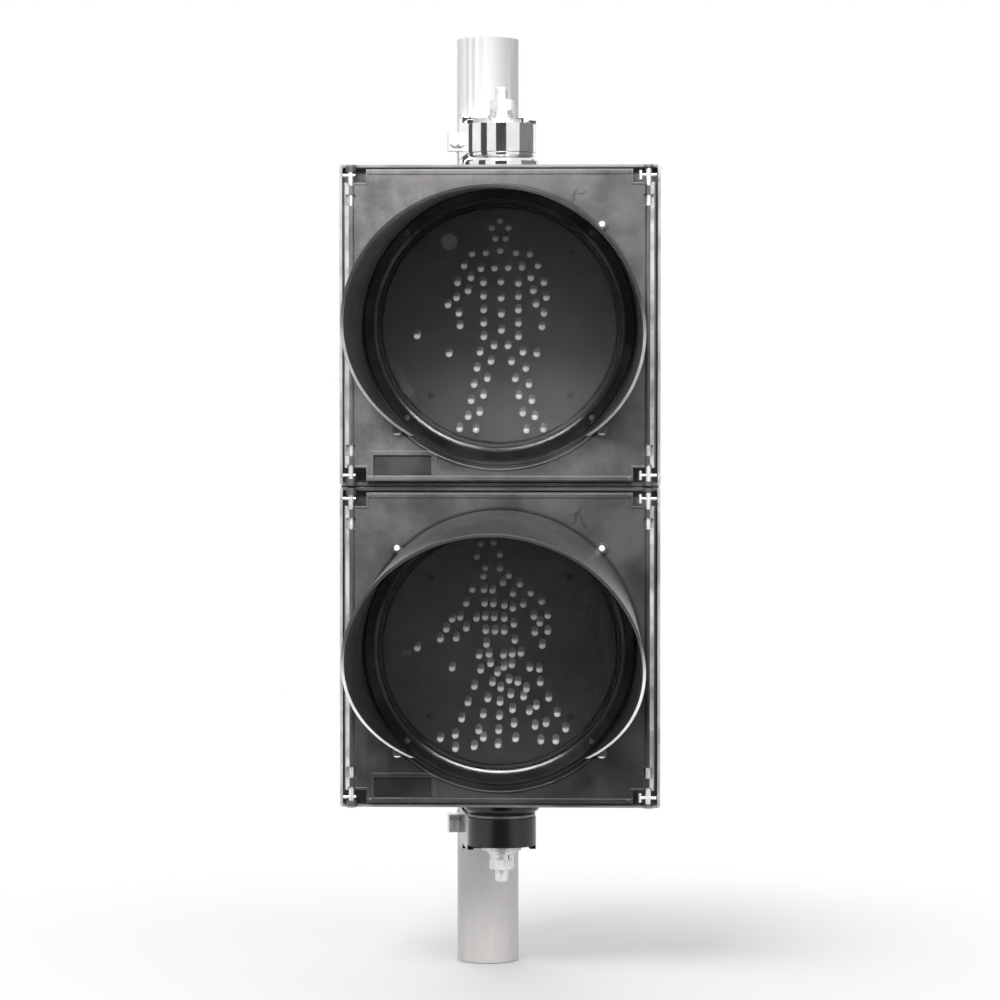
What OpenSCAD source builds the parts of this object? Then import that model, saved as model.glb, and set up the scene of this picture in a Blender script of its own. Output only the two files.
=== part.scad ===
// Pedestrian traffic signal: two LED sections with cowl visors, on a short piece of pole.
// Millimetres. Origin at the centre of the pole's lower end, +Z up, the signal faces -Y.

/* [Pole] */
// Outer diameter of the pole
pole_d = 48.3; // [42.4, 48.3, 60.3]
// Wall of the pole
pole_wall = 3; // [2:0.5:4]
// Pole below the middle of the head
pole_below = 377; // [340:1:600]
// Pole above the middle of the head
pole_above = 348; // [320:1:600]

/* [Arms] */
// Reach from the pole axis to the hub axis
arm_reach = 102; // [100:1:112]
// How far the head is swivelled on its hubs, in whole teeth of eight degrees
arm_swing = 8; // [0, 8]
// Half the width of an arm, which is also the radius of its nose
arm_half = 26.2; // [25.8:0.1:27]
// Wall of an arm's sides and nose
arm_wall = 4.5; // [4:0.1:5]
// Height of an arm's nose
arm_h = 21.6; // [20:0.1:24]

/* [Housing] */
// Width and height of one section
section = 240; // [238:1:244]
// Depth from the door's face to the back of the housing
depth = 100; // [98:1:120]
// Wall of the mouldings
wall = 3; // [2.5:0.25:3.5]
// Depth of the hub axis behind the door's face
hub_depth = 50; // [46:1:52]

/* [Door] */
// Width and height of a door
door_w = 232.6; // [231.6:0.1:233]
// Depth of the door's skirt
skirt = 13; // [11:0.5:13.5]
// Distance of a pin's axis from the middle of the door
pin_x = 111; // [110.8:0.1:111.4]
// Radius of a pin's shaft
pin_r = 2; // [1.8:0.1:2]

/* [Visor and lens] */
// Length of the visor at its top
visor_l = 190; // [150:5:200]
// Outer radius of the visor where it leaves the door
visor_r = 104.8; // [104:0.1:105]
// Growth of the visor's radius over its length, as a share
visor_flare = 0.028; // [0.01:0.002:0.04]
// How far the visor points down
visor_tilt = 4.7; // [3:0.1:5]
// How far the visor and its seat stand below the middle of the lens
visor_drop = 1.5; // [0.5:0.1:1.5]
// Radius of the lens
lens_r = 93.5; // [92:0.5:94]
// Diameter of an LED
led_d = 5; // [4.8:0.1:5.2]
// How far the LEDs point down
led_tilt = 20; // [0:5:25]

/* [Hidden] */
$fn = 96;

UPPER = 1;
LOWER = -1;
TOP = 1;
BOTTOM = -1;
LEFT = -1;
RIGHT = 1;

black = [0.13, 0.125, 0.13];
dark = [0.2, 0.195, 0.2];
rubber = [0.07, 0.07, 0.07];
steel = [0.62, 0.62, 0.64];
zinc = [0.85, 0.85, 0.86];
polished = [0.75, 0.75, 0.77];
pole_paint = [0.76, 0.75, 0.74];
led_clear = [0.8, 0.8, 0.82];

// Thickness of the rubber between the two sections
section_gap = 1;
section_pitch = section + section_gap;
head_half = section + section_gap / 2;
half = section / 2;
door_half = door_w / 2;
hub_x = arm_reach * sin(arm_swing);
hub_y = -arm_reach * cos(arm_swing);

// Depths behind the door's face
lip_front = 8;
ledge_front = 15.5;
ledge_back = 18.5;
plate_t = 3;
flange_front = 4.3;
board_front = 14;
board_t = 1.6;
bowl_back = 64;

// Housing
lip_in = half - 2.3;
body_half = half - 4;
ledge_half = 98;
hub_pad_r = 32;
hub_hole_r = 17;
hub_wall = 15;

// Door: pins, notches and barrels
pin_y = 1.9;
fit = 0.05;
barrel_r = 3.4;
notch_x = 99.5;
notch_z = 106.2;
notch_step = 2.2;
bar_z = 111.8;
bar_r = 1.2;
bar_out = 6.1;
bar_in = 3.3;
flag_in = 6;
flag_half = 3.4;
pin_tip = 116.9;
pin_tail = 86;
bore_end = 80;
window_z = 89;
window_h = 8.2;
window_half = 3.7;
hinge_lug_z = 114.4;
keeper_z = 117.2;
lug_top = half - 0.4;
lug_r = 3.6;
edge_half = 115.3;
edge_rib = 2.8;

// Door opening, visor seat, screws
hole_r = 94.8;
seat_in = 102.3;
seat_out = 105.6;
seat_d = 1;
seat_drop = visor_drop + 0.25;
ring_r = 100.8;
ring_in = 91.2;
ring_screw_r = 97.4;
visor_screw_r = 108;
board_screw_r = 74;
visor_t = 2.2;
seal_out = 102.2;
seal_in = 99.8;

// Hub stack above the head's end face
ring_h = 8.6;
disc_r = 25.6;
disc_t = 2.8;
arm_low = ring_h + disc_t;
stack_top = arm_low + arm_h;
teeth = 45;
tooth_half = 0.8;
tooth_h = 1;
bolt_r = 5;
plate_washer_r = 15;
plate_washer_t = 4;
washer_r = 10.5;
washer_t = 3;
split_r = 9;
split_t = 3.3;
nut_z = stack_top + plate_washer_t + washer_t + split_t;
nut_af = 17;
nut_h = 8.4;
bolt_end = nut_z + nut_h + 9.7;
inner_plate_t = 4;

// Band
band_t = 0.8;
band_w = 14;
band_z = 26;
band_cross = 32;

// Frames of reference

module at_head() translate([hub_x, hub_y - hub_depth, pole_below]) children();

module at_section(which) at_head() translate([0, 0, which * section_pitch / 2]) children();

// The arm's own frame: hub axis at the origin, +Y towards the pole, Z from the head's end face
module at_arm(end) {
    translate([hub_x, hub_y, pole_below + end * head_half])
        rotate([0, 0, arm_swing])
            mirror([0, 0, end == TOP ? 0 : 1])
                children();
}

// Shape helpers

// A front outline drawn in X and Z, made solid from one depth to another
module slab(front, back) {
    translate([0, back, 0])
        rotate([90, 0, 0])
            linear_extrude(back - front)
                children();
}

// A profile of radius and depth, turned about the Y axis
module turned() {
    rotate([-90, 0, 0])
        rotate_extrude()
            children();
}

module rod_y(r, front, back) {
    translate([0, front, 0])
        rotate([-90, 0, 0])
            cylinder(r = r, h = back - front);
}

module rounded(w, h, r) {
    square([w - 2 * r, h], center = true);
    square([w, h - 2 * r], center = true);
    for (x = [-1, 1], y = [-1, 1])
        translate([x * (w / 2 - r), y * (h / 2 - r)])
            circle(r = r);
}

module frame_outline(outer, inner, r) {
    difference() {
        rounded(2 * outer, 2 * outer, r);
        rounded(2 * inner, 2 * inner, max(r - outer + inner, 0.6));
    }
}

module hexagon(af, h) cylinder(d = af / cos(30), h = h, $fn = 6);

// Children set at the four diagonals of a section, at one radius
module diagonals(r) {
    for (a = [45, 135, 225, 315])
        translate([r * sin(a), 0, r * cos(a)])
            children();
}

// Pole and arms

module pole() color(pole_paint) difference() {
    cylinder(d = pole_d, h = pole_below + pole_above);
    translate([0, 0, -1])
        cylinder(d = pole_d - 2 * pole_wall, h = pole_below + pole_above + 2);
}

// Outline of the band's loop round the pole and across the arm, grown by g
module band_loop(g) {
    r = pole_d / 2 + g;
    circle(r = r);
    translate([-r, -band_cross - g])
        square([2 * r, band_cross + g]);
}

module band_shape(inner, outer, h) {
    translate([0, arm_reach, band_z - h / 2])
        linear_extrude(h)
            difference() {
                band_loop(outer);
                band_loop(inner);
            }
}

// Upside-down trough with a round nose and raised sides, then a saddle that is hollowed to fit
// the pole
module bracket(end) {
    rear = arm_reach - band_cross - 3;
    inner = arm_half - arm_wall;
    web_t = 3.6;
    side_rise = 4;
    boss_r = 11;
    saddle_half = pole_d / 2 - 0.25;
    saddle_low = 8;
    saddle_top = 44;
    at_arm(end) color(end == TOP ? polished : black) difference() {
        union() {
            difference() {
                union() {
                    translate([0, 0, arm_low])
                        cylinder(r = arm_half, h = arm_h);
                    translate([-arm_half, 0, arm_low])
                        cube([2 * arm_half, rear, arm_h + side_rise]);
                }
                translate([0, 0, arm_low - 1])
                    cylinder(r = inner, h = arm_h - web_t + 1);
                translate([-inner, 0, arm_low - 1])
                    cube([2 * inner, rear - arm_wall, arm_h - web_t + 1]);
                translate([-inner, -1, stack_top])
                    cube([2 * inner, rear + 2, side_rise + 1]);
            }
            translate([0, 0, arm_low])
                cylinder(r = boss_r, h = arm_h - 1);
            translate([-saddle_half, rear - 3, saddle_low])
                cube([2 * saddle_half, arm_reach - rear + 3, saddle_top - saddle_low]);
        }
        translate([0, arm_reach, saddle_low - 1])
            cylinder(d = pole_d + 0.1, h = saddle_top - saddle_low + 2);
        // Relief behind the widest line of the pole
        translate([-saddle_half - 1, arm_reach - 14, saddle_low - 1])
            cube([2 * saddle_half + 2, 20, saddle_top - saddle_low + 2]);
        // Slot that the band passes through
        band_shape(-0.1, band_t + 0.2, band_w + 0.6);
        // Hollow of the casting
        translate([-saddle_half + 4, rear + 7.5, saddle_low - 1])
            cube([2 * saddle_half - 8, 5, saddle_top - saddle_low - 3]);
        translate([0, 0, arm_low - 1])
            cylinder(r = bolt_r + 0.4, h = arm_h + 2);
    }
}

module band(end) {
    r = pole_d / 2 + band_t;
    box_w = 8;
    box_l = 15;
    at_arm(end) color(zinc) {
        band_shape(0, band_t, band_w);
        difference() {
            translate([-r - box_w, arm_reach - 24, band_z - band_w / 2])
                cube([box_w + 0.01, box_l, band_w]);
            translate([-r - box_w / 2, arm_reach - 26, band_z])
                rotate([-90, 0, 0])
                    cylinder(r = 3, h = box_l + 4);
        }
    }
}

module band_screw(end) {
    at_arm(end) color(zinc)
        translate([-pole_d / 2 - band_t - 4, arm_reach - 24, band_z])
            difference() {
                union() {
                    rotate([-90, 0, 0])
                        cylinder(r = 2.8, h = 15);
                    rotate([90, 0, 0])
                        rotate([0, 0, 30])
                            hexagon(7, 4.5);
                }
                translate([-0.6, -5, -5])
                    cube([1.2, 2, 10]);
            }
}

// Hub: toothed ring on the head, toothed disc under the arm, bolt through both

module serration(half_w, h) {
    for (i = [0:teeth - 1])
        rotate([0, 0, i * 360 / teeth])
            translate([hub_hole_r + 0.6, 0, 0])
                rotate([90, 0, 90])
                    linear_extrude(disc_r - hub_hole_r - 1.2)
                        polygon([[-half_w, 0], [half_w, 0], [0, -h]]);
}

module hub_ring(end) {
    at_arm(end) color(end == TOP ? polished : black) difference() {
        rotate_extrude()
            polygon([
                [hub_hole_r, 0], [28.5, 0], [28.8, 1], [28.8, 4.6], [28.2, 5.8],
                [26, 7.6], [disc_r, ring_h - 0.6], [disc_r - 0.6, ring_h], [hub_hole_r, ring_h]
            ]);
        translate([0, 0, ring_h])
            serration(tooth_half, tooth_h);
    }
}

module toothed_disc(end) {
    at_arm(end) color(polished) {
        translate([0, 0, ring_h])
            rotate_extrude()
                polygon([
                    [bolt_r + 0.4, 0], [disc_r - 0.5, 0], [disc_r, 0.4], [disc_r, disc_t - 0.4],
                    [disc_r - 0.5, disc_t], [bolt_r + 0.4, disc_t]
                ]);
        translate([0, 0, ring_h])
            serration(tooth_half - 0.08, tooth_h - 0.09);
    }
}

module bolt(end) {
    low = -hub_wall - inner_plate_t;
    head_h = 6.4;
    chamfer = 1.2;
    at_arm(end) color(zinc) {
        translate([0, 0, low - head_h])
            hexagon(nut_af, head_h);
        translate([0, 0, low - 0.01])
            cylinder(r = bolt_r, h = bolt_end - chamfer - low + 0.01);
        translate([0, 0, bolt_end - chamfer - 0.02])
            cylinder(r1 = bolt_r, r2 = bolt_r - chamfer, h = chamfer + 0.02);
    }
}

// Plate washer between the arm's raised sides, flat washer, split washer and nut
module nut_stack(end) {
    flat_z = stack_top + plate_washer_t;
    split_z = flat_z + washer_t + 0.02;
    at_arm(end) color(zinc) {
        translate([0, 0, stack_top])
            washer(plate_washer_r, plate_washer_t);
        translate([0, 0, flat_z])
            washer(washer_r, washer_t);
        translate([0, 0, split_z])
            difference() {
                washer(split_r, split_t - 0.04);
                rotate([0, 18, -60])
                    translate([bolt_r - 1, -0.6, -4])
                        cube([6, 1.2, split_t + 8]);
            }
        translate([0, 0, nut_z])
            difference() {
                intersection() {
                    rotate([0, 0, 12])
                        hexagon(nut_af, nut_h);
                    rotate_extrude()
                        polygon([
                            [0, 0], [nut_af / 2, 0], [nut_af / 2 + 1.5, 0.9],
                            [nut_af / 2 + 1.5, nut_h - 0.9], [nut_af / 2, nut_h], [0, nut_h]
                        ]);
                }
                translate([0, 0, -1])
                    cylinder(r = bolt_r + 0.05, h = nut_h + 2);
            }
    }
}

module washer(r, t) difference() {
    cylinder(r = r, h = t);
    translate([0, 0, -1])
        cylinder(r = bolt_r + 0.25, h = t + 2);
}

module inner_plate(end) {
    at_arm(end) color(steel)
        translate([0, 0, -hub_wall - inner_plate_t])
            difference() {
                cylinder(r = 27, h = inner_plate_t);
                translate([0, 0, -1])
                    cylinder(r = bolt_r + 0.4, h = inner_plate_t + 2);
                for (a = [0:90:270])
                    rotate([0, 0, a])
                        translate([12, 0, -1])
                            cylinder(r = 3.5, h = inner_plate_t + 2);
            }
}

// Housing

// A block whose rear edges are rounded in plan and in side view
module rear_block(h, r, front, back) {
    intersection() {
        slab(front, back)
            rounded(2 * h, 2 * h, r);
        translate([0, 0, -h - 1])
            linear_extrude(2 * h + 2)
                rear_profile(h, r + 6, front, back);
        rotate([0, 90, 0])
            translate([0, 0, -h - 1])
                linear_extrude(2 * h + 2)
                    rear_profile(h, r + 6, front, back);
    }
}

module rear_profile(h, r, front, back) {
    translate([-h, front - 1])
        square([2 * h, back - front - r + 1]);
    translate([-h + r, front - 1])
        square([2 * (h - r), back - front + 1]);
    for (x = [-1, 1])
        translate([x * (h - r), back - r])
            circle(r = r);
}

module pin_lug(side, end, low) {
    translate([side * pin_x, pin_y, 0])
        mirror([0, 0, end == TOP ? 0 : 1])
            translate([0, 0, low]) {
                cylinder(r = lug_r, h = lug_top - low);
                translate([-lug_r, 0, 0])
                    cube([2 * lug_r, ledge_front - pin_y + 1, lug_top - low]);
            }
}

module housing(which) {
    hub = [0, hub_depth, 0];
    rib_t = 2.5;
    at_section(which) color(dark) difference() {
        union() {
            difference() {
                union() {
                    slab(lip_front, ledge_back)
                        rounded(section, section, 2);
                    rear_block(body_half, 9, ledge_front, depth);
                    translate(hub - [0, 0, half])
                        cylinder(r = hub_pad_r, h = section);
                }
                slab(lip_front - 1, ledge_front)
                    rounded(2 * lip_in, 2 * lip_in, 1.5);
                slab(lip_front, ledge_back + 0.01)
                    rounded(2 * ledge_half, 2 * ledge_half, 12);
                rear_block(body_half - wall, 6, ledge_back, depth - wall);
            }
            // Thick wall round each hub, with ribs to the back
            for (z = [-1, 1])
                intersection() {
                    translate(hub + [0, 0, z * (half - hub_wall / 2 - 2) - hub_wall / 2 + z * 2])
                        cylinder(r = hub_pad_r, h = hub_wall);
                    translate([0, 0, z > 0 ? half - hub_wall : -half])
                        translate([-40, 0, 0])
                            cube([80, depth, hub_wall]);
                }
            for (x = [-70, 70], z = [-1, 1])
                translate([x - rib_t / 2, depth - wall - 4, z > 0 ? 20 : -100])
                    cube([rib_t, 4.5, 80]);
            for (end = [TOP, BOTTOM]) {
                pin_lug(LEFT, end, hinge_lug_z);
                pin_lug(RIGHT, end, keeper_z);
            }
        }
        translate(hub - [0, 0, half + 1])
            cylinder(r = hub_hole_r, h = section + 2);
        // Holes for the coupling bolts, at both ends since both housings are one moulding
        for (a = [45:90:315])
            translate(hub + [23 * cos(a), 23 * sin(a), -half - 1])
                cylinder(r = 3.2, h = section + 2);
        for (side = [LEFT, RIGHT])
            translate([side * pin_x, pin_y, -half - 1])
                cylinder(r = pin_r + fit, h = section + 2);
    }
}

// Rubber between the sections: a disc round the hub and a strip behind the front lips
module section_gasket() at_head() color(rubber)
    translate([0, 0, -section_gap / 2]) {
        strip_half = half - 1;
        strip_front = 9.5;
        translate([-strip_half, strip_front, 0])
            cube([2 * strip_half, 8.5, section_gap]);
        difference() {
            union() {
                translate([0, hub_depth, 0])
                    cylinder(r = hub_pad_r - 1, h = section_gap);
                translate([-12, strip_front + 4, 0])
                    cube([24, 10, section_gap]);
            }
            translate([0, hub_depth, -1])
                cylinder(r = hub_hole_r, h = section_gap + 2);
            for (a = [45:90:315])
                translate([23 * cos(a), hub_depth + 23 * sin(a), -1])
                    cylinder(r = 3.2, h = section_gap + 2);
        }
    }

// Steel plates inside the two housings; the lower one is tapped
module coupling_plates() at_head() color(steel)
    for (end = [TOP, BOTTOM])
        mirror([0, 0, end == TOP ? 0 : 1])
            translate([0, hub_depth, section_gap / 2 + hub_wall])
                difference() {
                    cylinder(r = 29, h = inner_plate_t);
                    translate([0, 0, -1])
                        cylinder(r = hub_hole_r, h = inner_plate_t + 2);
                    for (a = [45:90:315])
                        rotate([0, 0, a])
                            translate([23, 0, -1])
                                cylinder(r = end == TOP ? 3.2 : 3.05, h = inner_plate_t + 2);
                }

module coupling_bolts() at_head() color(zinc) {
    reach = section_gap / 2 + hub_wall + inner_plate_t;
    for (a = [45:90:315])
        translate([23 * cos(a), hub_depth + 23 * sin(a), 0]) {
            translate([0, 0, -reach - 3])
                cylinder(r = 3, h = 2 * reach + 3.01);
            translate([0, 0, reach])
                hexagon(10, 4);
        }
}

module door_gasket(which) at_section(which) color(rubber)
    slab(skirt + 0.5, ledge_front)
        frame_outline(103, 99, 14);

module terminal_block() at_section(LOWER) color([0.75, 0.72, 0.64]) {
    ways = 6;
    pitch = 11;
    translate([-ways * pitch / 2, depth - wall - 16, -92])
        difference() {
            cube([ways * pitch, 16, 18]);
            for (i = [0:ways - 1])
                translate([(i + 0.5) * pitch, -1, 9]) {
                    translate([0, 0, 0])
                        rotate([-90, 0, 0])
                            cylinder(r = 2.6, h = 5);
                    translate([-3.5, 6, -10])
                        cube([7, 6, 5]);
                    translate([-3.5, 6, 5])
                        cube([7, 6, 5]);
                }
        }
}

// Door and what is on it

module notch(grow) {
    for (x = [-1, 1], z = [-1, 1])
        translate([x > 0 ? notch_x - grow : -half - 1, z > 0 ? notch_z - grow : -half - 1])
            square([half + 1 - notch_x + grow, half + 1 - notch_z + grow]);
}

// The visor's seat and screws, set lower than the lens
module at_seat() translate([0, 0, -visor_drop]) children();

module plate_frame() translate([-95.7, -114.6]) square([48.4, 20.9]);

module plate_recess() translate([-94.2, -112.3]) square([43.5, 15.6]);

module door(which) {
    at_section(which) color(dark) difference() {
        union() {
            slab(0, plate_t) difference() {
                rounded(door_w, door_w, 4);
                notch(0);
            }
            slab(0.5, skirt) difference() {
                frame_outline(door_half, door_half - 2.5, 4);
                notch(0);
            }
            // Walls and raised rims round the corner notches
            slab(-0.7, skirt) intersection() {
                rounded(2 * edge_half, 2 * edge_half, 3);
                difference() {
                    notch(1.5);
                    notch(0);
                }
            }
            slab(-0.9, 1) difference() {
                frame_outline(edge_half, edge_half - edge_rib, 3);
                notch(0);
            }
            // Stop blocks beside the notches
            for (x = [-1, 1], z = [-1, 1])
                translate([x * 96.8 - 1, -1.3, z * 114.4 - 1.3])
                    cube([2, 2.3, 2.6]);
            for (x = [-1, 1])
                translate([x * pin_x, pin_y, -notch_z])
                    cylinder(r = barrel_r, h = 2 * notch_z);
            slab(-0.8, 1) difference() {
                plate_frame();
                translate([0, -seat_drop])
                    circle(r = seat_out + 0.8);
            }
            // Seat boss, seal rib and stiffeners behind the face
            rod_y(104, plate_t - 1, flange_front);
            slab(plate_t - 1, skirt + 0.5)
                frame_outline(seal_out, seal_in, 12);
            at_seat() diagonals(visor_screw_r)
                rod_y(3.8, plate_t - 1, 11);
            at_seat() for (a = [45:90:315])
                rotate([0, a, 0])
                    translate([-1, plate_t - 1, visor_screw_r])
                        cube([2, 6, 25]);
        }
        // Lowered strip round the edge
        slab(-2, 0.9) difference() {
            square(2 * half + 10, center = true);
            rounded(2 * edge_half, 2 * edge_half, 3);
        }
        rod_y(hole_r, -2, skirt);
        translate([0, 0, -seat_drop])
            turned()
                translate([seat_in, -1])
                    square([seat_out - seat_in, seat_d + 1]);
        slab(-2, 1.2)
            plate_recess();
        diagonals(ring_screw_r)
            rod_y(1.6, -1, skirt);
        at_seat() diagonals(visor_screw_r)
            rod_y(1.75, -1, 9);
        for (x = [-1, 1], end = [TOP, BOTTOM])
            mirror([0, 0, end == TOP ? 0 : 1])
                translate([x * pin_x, pin_y, 0]) {
                    translate([0, 0, bore_end])
                        cylinder(r = pin_r + fit, h = notch_z - bore_end + 1);
                    // Step below the notch, and window in the barrel, that show the shaft
                    translate([-pin_r - 0.6, -barrel_r - 1, notch_z - notch_step])
                        cube([2 * pin_r + 1.2, barrel_r + 1.2, notch_step + 1]);
                    translate([-window_half, -barrel_r - 1, window_z])
                        cube([2 * window_half, barrel_r + 1.2, window_h]);
                }
    }
}

// Side view of the visor: the edge is a parabola from under the door line to the top
function visor_edge(c) = visor_l * (1 - pow((1.11 - c) / 1.907, 2));
function visor_radius(s) = visor_r + visor_flare * s;

module visor(which) {
    back = -12;
    low = -0.797;
    high = 1.11;
    steps = 22;
    over = 1.3 * visor_r;
    at_section(which) color(black) difference() {
        union() {
            difference() {
                at_seat() rotate([visor_tilt, 0, 0]) intersection() {
                    rotate([90, 0, 0])
                        rotate_extrude($fn = 180)
                            polygon([
                                [visor_radius(back) - visor_t, back], [visor_radius(back), back],
                                [visor_radius(visor_l + 5), visor_l + 5],
                                [visor_radius(visor_l + 5) - visor_t, visor_l + 5]
                            ]);
                    rotate([90, 0, -90])
                        linear_extrude(3 * visor_r, center = true)
                            polygon(concat(
                                [[back - 1, over], [back - 1, low * visor_r]],
                                [for (i = [0:steps])
                                    let (c = low + (high - low) * i / steps,
                                         s = visor_edge(c))
                                    [s, c * visor_radius(s)]],
                                [[visor_l, over]]
                            ));
                }
                // The door's face, at the bottom of the seat
                translate([-2 * visor_r, seat_d, -2 * visor_r])
                    cube([4 * visor_r, 40, 4 * visor_r]);
            }
            at_seat() diagonals(visor_screw_r)
                rod_y(4, -2.4, 0);
        }
        at_seat() diagonals(visor_screw_r)
            rod_y(1.85, -4, 2);
    }
}

module pan_screws(at_r, head_r, shank_r, seat, head_h, tip) {
    diagonals(at_r)
        difference() {
            turned()
                polygon([
                    [0, seat - head_h], [head_r * 0.6, seat - head_h], [head_r * 0.9, seat - head_h * 0.7],
                    [head_r, seat - head_h * 0.3], [head_r, seat], [shank_r, seat], [shank_r, tip - 1],
                    [0.4, tip], [0, tip]
                ]);
            for (a = [0, 90])
                rotate([0, a + 20, 0])
                    translate([-head_r * 0.55, seat - head_h - 1, -0.4])
                        cube([head_r * 1.1, 1.9, 0.8]);
        }
}

module visor_screws(which) at_section(which) color(zinc)
    at_seat() pan_screws(visor_screw_r, 2.4, 1.7, -2.4, 1.9, 8.6);

module lens_ring(which) at_section(which) color(black) difference() {
    turned()
        polygon([
            [ring_in, 0], [ring_in, -1.2], [ring_in + 2.1, -2.05], [ring_in + 2.3, -2.9],
            [ring_in + 2.8, -2.9], [ring_in + 3.1, -2.4], [ring_r - 0.5, -2.4], [ring_r, -1.9],
            [ring_r, 0]
        ]);
    diagonals(ring_screw_r) {
        rod_y(1.6, -5, 1);
        rod_y(2.7, -5, -2);
    }
}

module lens_ring_screws(which) at_section(which) color(zinc)
    pan_screws(ring_screw_r, 2.2, 1.4, -2, 1.5, 11);

// Clear dome with a bevelled shoulder and a flat edge
module lens(which) {
    dome_r = 87.6;
    rise = 5.6;
    edge_t = 2.8;
    skin = 2.5;
    n = 12;
    ball = (dome_r * dome_r + rise * rise) / (2 * rise);
    at_section(which) color([0.3, 0.3, 0.32, 0.35]) turned()
        polygon(concat(
            [for (i = [0:n])
                let (r = dome_r * i / n)
                [r, -2.2 - rise + ball - sqrt(ball * ball - r * r)]],
            [[dome_r + 3.2, 0], [lens_r, 0], [lens_r, edge_t], [dome_r + 1, edge_t],
             [dome_r - 1, -2.2 + skin]],
            [for (i = [n - 1:-1:0])
                let (r = dome_r * i / n)
                [r, -2.2 - rise + skin + ball - sqrt(ball * ball - r * r)]]
        ));
}

module lens_gasket(which) at_section(which) color(rubber) difference() {
    rod_y(lens_r + 0.9, 2.8, flange_front);
    rod_y(lens_r - 2.9, 0, 10);
}

module module_shell(which) {
    board_back = board_front + board_t;
    at_section(which) color(black) difference() {
        union() {
            turned()
                polygon([
                    [90.3, flange_front], [97, flange_front], [97, flange_front + 2],
                    [93.2, flange_front + 2], [93.2, 20], [72, 60], [66, bowl_back], [0, bowl_back],
                    [0, bowl_back - 2.5], [65, bowl_back - 2.5], [70, 58], [87.6, 25],
                    [87.6, board_back], [90.3, board_back]
                ]);
            // Ears for the lens ring's screws
            difference() {
                diagonals(ring_screw_r)
                    rod_y(4.7, flange_front, 12);
                rod_y(92, 0, 30);
            }
            diagonals(board_screw_r)
                rod_y(4, board_back, 46);
            for (x = [-42, 42], z = [-28, 28])
                translate([x, 0, z])
                    rod_y(3, 41.6, bowl_back - 1);
        }
        diagonals(ring_screw_r)
            rod_y(1.45, 0, 11.5);
        diagonals(board_screw_r)
            rod_y(1.45, 10, 24);
        translate([0, 0, -30])
            rod_y(8.1, 50, bowl_back + 1);
    }
}

module led_board(which) at_section(which) color([0.06, 0.06, 0.065]) difference() {
    rod_y(90, board_front, board_front + board_t);
    diagonals(board_screw_r)
        rod_y(1.6, 0, 30);
}

module board_screws(which) at_section(which) color([0.25, 0.25, 0.25])
    pan_screws(board_screw_r, 2.7, 1.4, board_front, 1.9, 23);

module driver_board(which) at_section(which) color([0.16, 0.3, 0.2]) {
    translate([-50, 40, -35])
        cube([100, board_t, 70]);
    translate([-30, 24, -22])
        cube([32, 16.01, 28]);
    for (x = [16, 30])
        translate([x, 0, 18])
            rod_y(6, 22, 40.01);
    translate([14, 34, -26])
        cube([24, 6.01, 20]);
}

module cable_gland(which) at_section(which) color(black)
    translate([0, 0, -30]) difference() {
        union() {
            rod_y(8, bowl_back - 6, bowl_back + 1);
            translate([0, bowl_back, 0])
                rotate([-90, 0, 0])
                    hexagon(20, 5);
            turned()
                polygon([[0, 68], [9.6, 68], [9.6, 75], [7, 80], [0, 80]]);
        }
        rod_y(3.5, 0, 100);
    }

module vent_disc(which) at_section(which) color([0.45, 0.45, 0.46])
    translate([-38, 0, 63]) difference() {
        rod_y(6, board_front - 1.6, board_front);
        turned()
            translate([3.6, 0])
                square([0.8, board_front - 1]);
    }

// LED figures: rows of [from x, from z, to x, to z, count], in the plane of the board

standing = [
    [-6, 75, -3.3, 67, 2], [6.3, 75, 4.4, 67, 2], [0.2, 80.3, 0.2, 80.3, 1], [0.2, 58, 0.2, 58, 1],
    [-20.8, 55.7, -10.4, 56.4, 2], [12, 56.4, 22.5, 55.3, 2],
    [-26.8, 46.7, -26.8, 46.7, 1], [-14.1, 44.6, 16.5, 45.6, 4], [28.5, 46.7, 28.5, 46.7, 1],
    [-21.6, 37.7, -23.8, 28, 2], [23.2, 37.7, 25.1, 28, 2],
    [-31.7, 34, -32.4, 22.8, 2], [33, 34, 34.8, 22.8, 2],
    [-38.8, 17.6, -38.8, 17.6, 1], [27, 17.9, 27, 17.9, 1],
    [-30.6, 11.2, -29.8, 1.9, 2], [33, 11.2, 31.5, 1.1, 2],
    [-12.3, 34, -12, -6.3, 5], [0.8, 34.7, 1.2, -1.5, 4], [13.9, 33.6, 13.9, -6.3, 5],
    [-4.4, -13.1, 6.1, -13.1, 2],
    [-14.9, -17.9, -23.8, -66.1, 5], [-6.6, -24.7, -17.9, -75.8, 5], [-30.2, -75.1, -30.2, -75.1, 1],
    [17.3, -17.9, 26.2, -66.1, 5], [8.7, -25, 19.9, -76.2, 5], [32.6, -75.4, 32.6, -75.4, 1],
    [-38, -19, -38, -19, 1], [27.7, -19, 27.7, -19, 1], [-61.9, -5.6, -61.9, -5.6, 1]
];

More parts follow.
